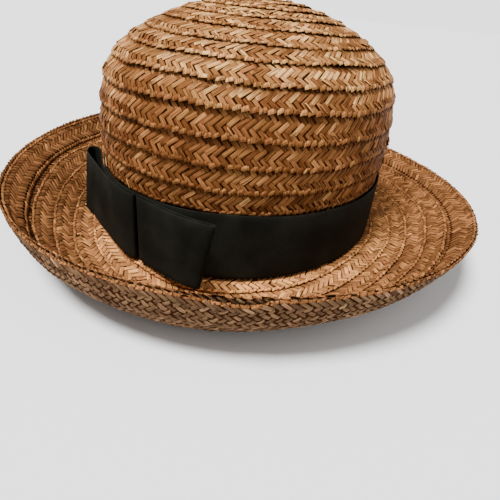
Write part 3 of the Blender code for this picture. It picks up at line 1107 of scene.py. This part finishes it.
def finish_ribbon(strip, points, thickness, material):
    """Bends a strip to its points, sews its ends together, and gives it the cloth's thickness."""
    write_points(strip, points)
    bpy.context.view_layer.objects.active = strip
    set_mode("EDIT")
    bpy.ops.mesh.select_all(action="SELECT")
    bpy.ops.mesh.remove_doubles(threshold=0.00002)
    bpy.ops.mesh.normals_make_consistent(inside=False)
    set_mode("OBJECT")
    apply_modifier(strip, "SOLIDIFY", thickness=thickness, offset=0.0, use_even_offset=True)
    edges = {"limit_method": "ANGLE", "angle_limit": math.radians(50)}
    apply_modifier(strip, "BEVEL", width=0.3 * thickness, segments=2, **edges)
    strip.data.materials.append(material)
    strip.data.shade_smooth()
    return strip


def beside_band(middle, along, stand_off):
    """A point in plan at a length round the band, standing off the solid band's outer face."""
    turn = along / middle
    ahead = unit(oval_point(middle, turn + math.pi / 2))
    normal = np.stack([ahead[:, 1], -ahead[:, 0]], axis=1)
    off = BAND_HALF_WALL + np.maximum(stand_off, LEAST_STAND_OFF)
    return oval_point(middle, turn) + off[:, None] * normal


def bow_loop(name, knot_table, hem, sizes, material, seed):
    """One loop of the bow, from the solid loop's own table, with the soft waves of real ribbon.

    The hem is the loop's lower edge, with its share of the upper edge's run and how far it flares.
    """
    hem_share, hem_flare = hem
    middle = band_middle_radius()
    knots = [(middle * math.radians(row["direction"]), row["stand_off"]) for row in knot_table]
    crease = middle * math.radians(CREASE_DIRECTION)
    unrolled = smooth_path(knots, 10, closed=True)
    unrolled = np.vstack([unrolled, unrolled[:1]])
    run = lengths_along(beside_band(middle, unrolled[:, 0], unrolled[:, 1]))
    strip, share, height = ribbon_strip(name, 160, 14, run[-1], sizes.ribbon_width)
    at = share * run[-1]
    reach = 1 + (hem_share - 1) * (1 - height)
    along = crease + reach * (np.interp(at, run, unrolled[:, 0]) - crease)
    off = reach * np.interp(at, run, unrolled[:, 1]) * (1 + hem_flare * (1 - height))
    wave = Sway(seed, ((0.013, 0.00010), (0.029, 0.00016)))
    fade_at_ends = np.sin(math.pi * share) ** 2
    off = off + fade_at_ends * wave.at(at + 0.010 * height) * ease(off, 0.002, 0.005)
    up = FOOT_HEIGHT + BOW_LIFT + sizes.ribbon_width * height
    points = np.column_stack([beside_band(middle, along, off), up])
    loop = finish_ribbon(strip, points, sizes.ribbon_thickness, material)
    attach(loop, "root")
    return loop, run[-1]


# Sizes and colours that a user may change


def size_of(name, description, default):
    return FloatProperty(name=name, description=description, default=default, unit="LENGTH")


def colour_of(name, description, default):
    texts = {"name": name, "description": description}
    return FloatVectorProperty(**texts, default=default, subtype="COLOR", size=3, min=0.0, max=1.0)


class HatSizes(bpy.types.PropertyGroup):
    """Sizes of the plaited straw and of the ribbon."""

    plait_width: size_of("Plait width", "Whole width of the straw plait", 0.017)
    plait_thickness: size_of("Plait thickness", "Thickness of the plait", 0.0014)
    edge_curl: size_of("Edge curl", "How far a plait's edge curls off the row below", 0.00055)
    core_step: size_of("Core step", "Length of one facet of the plait's middle", 0.0048)
    core_thickness: size_of("Core thickness", "Thickness of the plait's shaded middle", 0.0004)
    crown_pitch: size_of("Crown row", "Straw that shows in each row of the crown", 0.0116)
    brim_pitch: size_of("Brim row", "Straw that shows in each row of the brim", 0.0120)
    straw_pitch: size_of("Straw spacing", "Distance from straw to straw along a plait", 0.0037)
    straw_height: size_of("Straw height", "How far a straw's middle stands off the plait's middle", 0.0006)
    ribbon_width: size_of("Ribbon width", "Width of the ribbon", RIBBON_WIDTH)
    ribbon_thickness: size_of("Ribbon thickness", "Thickness of the ribbon", 0.0007)


class HatLook(bpy.types.PropertyGroup):
    """Colours of the straw, the ribbon and the floor, and the ribbon's ribs."""

    # The bright shades serve as painted highlights, for straws painted as if they caught the light
    straw_bright: colour_of("Bright straw", "A few straws that catch the light", (0.84, 0.465, 0.190))
    straw_light: colour_of("Light straw", "The palest straws", (0.330, 0.142, 0.051))
    straw_middle: colour_of("Straw", "Most of the straws", (0.148, 0.0540, 0.0175))
    straw_dark: colour_of("Dark straw", "The deepest straws", (0.066, 0.0205, 0.0050))
    # Painted highlight for the brim's straws that catch the light
    brim_bright: colour_of("Bright brim straw", "Brim straws that catch the light", (0.82, 0.365, 0.130))
    brim_light: colour_of("Light brim straw", "The palest straws of the brim", (0.405, 0.172, 0.065))
    brim_middle: colour_of("Brim straw", "Most of the brim's straws", (0.198, 0.082, 0.0310))
    brim_dark: colour_of("Dark brim straw", "The deepest straws of the brim", (0.095, 0.035, 0.0118))
    # The gap colours are painted shade: between the straws, under the rows above and on the plaits' middles
    gap_colour: colour_of("Gaps", "The shade between the straws", (0.024, 0.0068, 0.0016))
    brim_gap: colour_of("Brim gaps", "The shade between the brim's straws", (0.034, 0.0115, 0.0036))
    ribbon_colour: colour_of("Ribbon", "The ribbon's black", (0.0088, 0.0088, 0.0066))
    floor_colour: colour_of("Floor", "The pale floor", (0.9, 0.9, 0.9))
    rib_pitch: size_of("Rib spacing", "Distance from rib to rib of the ribbon", 0.00075)


class HAT_OT_crown(bpy.types.Operator):
    """Winds the crown from one long plait, with its straws on the outside and on the inside"""

    bl_idname = "hat.crown"
    bl_label = "Crown braid"

    def execute(self, context):
        sizes = context.scene.hat_sizes
        look = context.scene.hat_look
        winding = CrownWinding(sizes)
        straw = named_material("golden straw", crown_straw, look)
        shade = core_material("shaded inner straw", look.gap_colour)
        hidden = winding.surface.length_at(sizes.ribbon_width) - HIDDEN_BY_RIBBON

        def outside(up, short):
            return (up > hidden) & (short > CROWN_TOP_ROOM)

        def inside(up, short):
            return (up > CROWN_FOOT_ROOM) & (short > CROWN_TOP_ROOM)

        outer = plait_straws(winding, 1, CROWN_COLUMNS + CROWN_SLIVERS, outside, straw_patterns(), 100)
        inner = plait_straws(winding, -1, CROWN_COLUMNS, inside, straw_patterns(fine=False), 200)
        for piece in (
            mesh_of_straws("crown_braid", outer, straw),
            mesh_of_straws("crown_braid_inside", inner, straw),
            plait_core("crown_braid_core", winding, shade),
        ):
            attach(piece, "root")
            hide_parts("crown")
        return {"FINISHED"}


class HAT_OT_brim(bpy.types.Operator):
    """Winds the brim from the same plait, and lays one more turn of it over the rim"""

    bl_idname = "hat.brim"
    bl_label = "Brim braid"

    def execute(self, context):
        sizes = context.scene.hat_sizes
        look = context.scene.hat_look
        winding = BrimWinding(sizes)
        rim = RimWinding(sizes, winding.surface)
        straw = named_material("brown straw", brim_straw, look)
        # The underside's straw is the brim's, greyed and darkened with painted shade
        under_side = named_material("shaded brown straw", shaded_under_straw, look)
        shade = core_material("shaded inner brim straw", look.brim_gap)
        fine = straw_patterns()
        plain = straw_patterns(fine=False)

        def above(from_rim, short):
            return (from_rim > UNDER_RIM_PLAIT) & (short > BRIM_FOOT_ROOM)

        def below(from_rim, short):
            return (from_rim > -UNDER_PAST_RIM) & (short > UNDER_FOOT_ROOM)

        def near_rim(from_rim, short):
            return from_rim < RIM_EDGE_REACH

        def everywhere(across, short):
            return short > 0.0

        top = plait_straws(winding, 1, BRIM_COLUMNS, above, fine, 300)
        under = plait_straws(winding, -1, UNDER_COLUMNS, below, plain, 400)
        under += plait_straws(winding, -1, UNDER_LAST, near_rim, fine, 440)
        outer = plait_straws(winding, -1, UNDER_FOLD, near_rim, fine, 441)
        edge = plait_straws(winding, 1, BRIM_COLUMNS[:1], near_rim, fine, 450)
        binding = plait_straws(rim, 1, BRIM_COLUMNS + FAR_FOLD, everywhere, fine, 500)
        behind = plait_straws(rim, -1, UNDER_COLUMNS[4:] + UNDER_LAST, everywhere, plain, 540)
        under_pieces = [
            mesh_of_straws("brim_under_straws", under, under_side),
            mesh_of_straws("brim_edge_straws", edge + outer, straw),
        ]
        rim_pieces = [
            mesh_of_straws("rim_straws", binding, straw),
            mesh_of_straws("rim_back_straws", behind, under_side),
            plait_core("rim_core", rim, shade),
        ]
        for piece in (
            mesh_of_straws("brim_braid", top, straw),
            join("brim_braid_underside", under_pieces),
            plait_core("brim_braid_core", winding, shade),
            join("rim_braid", rim_pieces),
        ):
            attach(piece, "root")
            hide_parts("brim")
        return {"FINISHED"}


class HAT_OT_ribbon(bpy.types.Operator):
    """Bends the black ribbon round the crown's foot, with slight waves along its edges"""

    bl_idname = "hat.ribbon"
    bl_label = "Ribbon band"

    def execute(self, context):
        sizes = context.scene.hat_sizes
        material = named_material("black ribbed ribbon", ribbon_material, context.scene.hat_look)
        middle = band_middle_radius()
        turns = np.linspace(0.0, FULL_TURN, 361)
        run = lengths_along(oval_point(middle, turns))
        strip, share, height = ribbon_strip("ribbon_band", 300, 12, run[-1], sizes.ribbon_width)
        turn = np.interp(share * run[-1], run, turns)
        top = sizes.ribbon_width + RIBBON_RISE * np.cos(turn - math.radians(RIBBON_HIGH_DIRECTION))
        for row in RIBBON_RIPPLES:
            top = top + row["height"] * np.sin(row["waves"] * turn + row["start"])
        bulge = RIBBON_BULGE * np.sin(7 * turn + 0.5) * np.sin(math.pi * height)
        up = FOOT_HEIGHT + BAND_FOOT + (top - BAND_FOOT) * height
        points = np.column_stack([oval_point(middle + RIBBON_CLEARANCE + bulge, turn), up])
        band = finish_ribbon(strip, points, sizes.ribbon_thickness, material)
        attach(band, "root")
        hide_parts("hat_band")
        return {"FINISHED"}


class HAT_OT_bow(bpy.types.Operator):
    """Folds the bow's two flat loops, which meet in a dark crease"""

    bl_idname = "hat.bow"
    bl_label = "Bow"

    def execute(self, context):
        sizes = context.scene.hat_sizes
        material = named_material("black ribbed ribbon", ribbon_material, context.scene.hat_look)
        left_hem = (LEFT_HEM_SHARE, LEFT_HEM_FLARE)
        left, left_length = bow_loop("bow_left", LEFT_LOOP, left_hem, sizes, material, 41)
        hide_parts("bow_loop_left")
        right_hem = (RIGHT_HEM_SHARE, 0.0)
        right, right_length = bow_loop("bow_right", RIGHT_LOOP, right_hem, sizes, material, 42)
        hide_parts("bow_loop_right")
        return {"FINISHED"}


# Stage. The camera is the one that fits the hat's outline in a square picture: its focal length in
# pixels, how it stands to the hat's middle and how it turns from there, in degrees.
PICTURE_WIDTH = 500.0
SENSOR_WIDTH = 36.0
CAMERA_FOCAL = 419.0
CAMERA_DISTANCE = 0.307
CAMERA_ELEVATION = 23.7
CAMERA_YAW = 1.3
CAMERA_PITCH = -6.6
CAMERA_ROLL = 5.4
CAMERA_SWING = 20.0
LIGHTS = table(
    ("name", "from", "spread", "power"),
    ("key", (-0.30, -0.46, 1.35), 20.0, 7.4),
    ("fill", (0.9, -0.2, 0.9), 60.0, 0.9),
)


def photo_camera():
    """The camera's axes and place: its right, its up, its back, and where it stands."""
    elevation = math.radians(CAMERA_ELEVATION)
    yaw = math.radians(CAMERA_YAW)
    pitch = math.radians(CAMERA_PITCH)
    roll = math.radians(CAMERA_ROLL)
    place = CAMERA_DISTANCE * np.array([0.0, -math.cos(elevation), math.sin(elevation)])
    ahead = unit(-place)
    right = np.array([1.0, 0.0, 0.0])
    up = np.cross(right, ahead)
    level = ahead * math.cos(yaw) + right * math.sin(yaw)
    ahead = level * math.cos(pitch) + up * math.sin(pitch)
    right = unit(np.cross(ahead, up))
    up = np.cross(right, ahead)
    rolled_right = right * math.cos(roll) + up * math.sin(roll)
    rolled_up = up * math.cos(roll) - right * math.sin(roll)
    swing = np.array(Matrix.Rotation(math.radians(CAMERA_SWING), 3, "Z"))
    lift = np.array([0.0, 0.0, FOOT_HEIGHT])
    return swing @ rolled_right, swing @ rolled_up, swing @ -ahead, swing @ place + lift


def soft_room():
    """White surroundings that light the hat more from the sides than from above."""
    world = bpy.data.worlds.new("soft room")
    world.use_nodes = True
    nodes = Nodes(world.node_tree)
    facing = nodes.add("ShaderNodeTexCoord").outputs["Generated"]
    height = nodes.add("ShaderNodeSeparateXYZ", {"Vector": facing}).outputs["Z"]
    glow = nodes.calc("MULTIPLY_ADD", nodes.step(height, 0.02, 0.16), -1.6, 1.95)
    seen = nodes.add("ShaderNodeLightPath").outputs["Is Camera Ray"]
    inputs = {"Factor": seen, "A": glow, "B": 2.25}
    strength = nodes.add("ShaderNodeMix", inputs, data_type="FLOAT").outputs["Result"]
    sky = world.node_tree.nodes["Background"]
    nodes.fill(sky, {"Color": (1.0, 1.0, 1.0, 1.0), "Strength": strength})
    return world


class HAT_OT_stage(bpy.types.Operator):
    """Lays the pale floor, hangs the soft lights and sets up the camera"""

    bl_idname = "hat.stage"
    bl_label = "Stage"

    def execute(self, context):
        deselect()
        bpy.ops.mesh.primitive_plane_add(size=30.0)
        floor = bpy.context.object
        floor.name = "floor"
        floor.data.materials.append(named_material("pale floor", floor_material, context.scene.hat_look))
        eye = bpy.data.cameras.new("camera")
        eye.sensor_width = SENSOR_WIDTH
        eye.lens = SENSOR_WIDTH * CAMERA_FOCAL / PICTURE_WIDTH
        camera = bpy.data.objects.new("camera", eye)
        context.scene.collection.objects.link(camera)
        camera.matrix_world = Matrix([*zip(*photo_camera()), (0.0, 0.0, 0.0, 1.0)])
        context.scene.camera = camera
        for row in LIGHTS:
            lamp = bpy.data.lights.new(row["name"], "SUN")
            lamp.angle = math.radians(row["spread"])
            lamp.energy = row["power"]
            light = bpy.data.objects.new(row["name"], lamp)
            light.location = row["from"]
            light.rotation_euler = light.location.to_track_quat("Z", "Y").to_euler()
            context.scene.collection.objects.link(light)
        context.scene.world = soft_room()
        return {"FINISHED"}


class HAT_PT_panel(bpy.types.Panel):
    """Lists the hat's sizes, colours and pieces"""

    bl_idname = "HAT_PT_panel"
    bl_label = "Straw hat"
    bl_space_type = "VIEW_3D"
    bl_region_type = "UI"
    bl_category = "Hat"

    def draw(self, context):
        for group in (context.scene.hat_sizes, context.scene.hat_look):
            for name in group.bl_rna.properties.keys():
                if name not in ("rna_type", "name"):
                    self.layout.prop(group, name)
        for maker in MAKERS:
            self.layout.operator(maker.bl_idname)


MAKERS = (HAT_OT_crown, HAT_OT_brim, HAT_OT_ribbon, HAT_OT_bow, HAT_OT_stage)
CLASSES = (HatSizes, HatLook, *MAKERS, HAT_PT_panel)


def register():
    for each in CLASSES:
        bpy.utils.register_class(each)
    bpy.types.Scene.hat_sizes = PointerProperty(type=HatSizes)
    bpy.types.Scene.hat_look = PointerProperty(type=HatLook)


def unregister():
    del bpy.types.Scene.hat_look
    del bpy.types.Scene.hat_sizes
    for each in reversed(CLASSES):
        bpy.utils.unregister_class(each)


def main():
    register()
    bpy.ops.hat.crown()
    bpy.ops.hat.brim()
    bpy.ops.hat.ribbon()
    bpy.ops.hat.bow()
    bpy.ops.hat.stage()


if __name__ == "__main__":
    main()
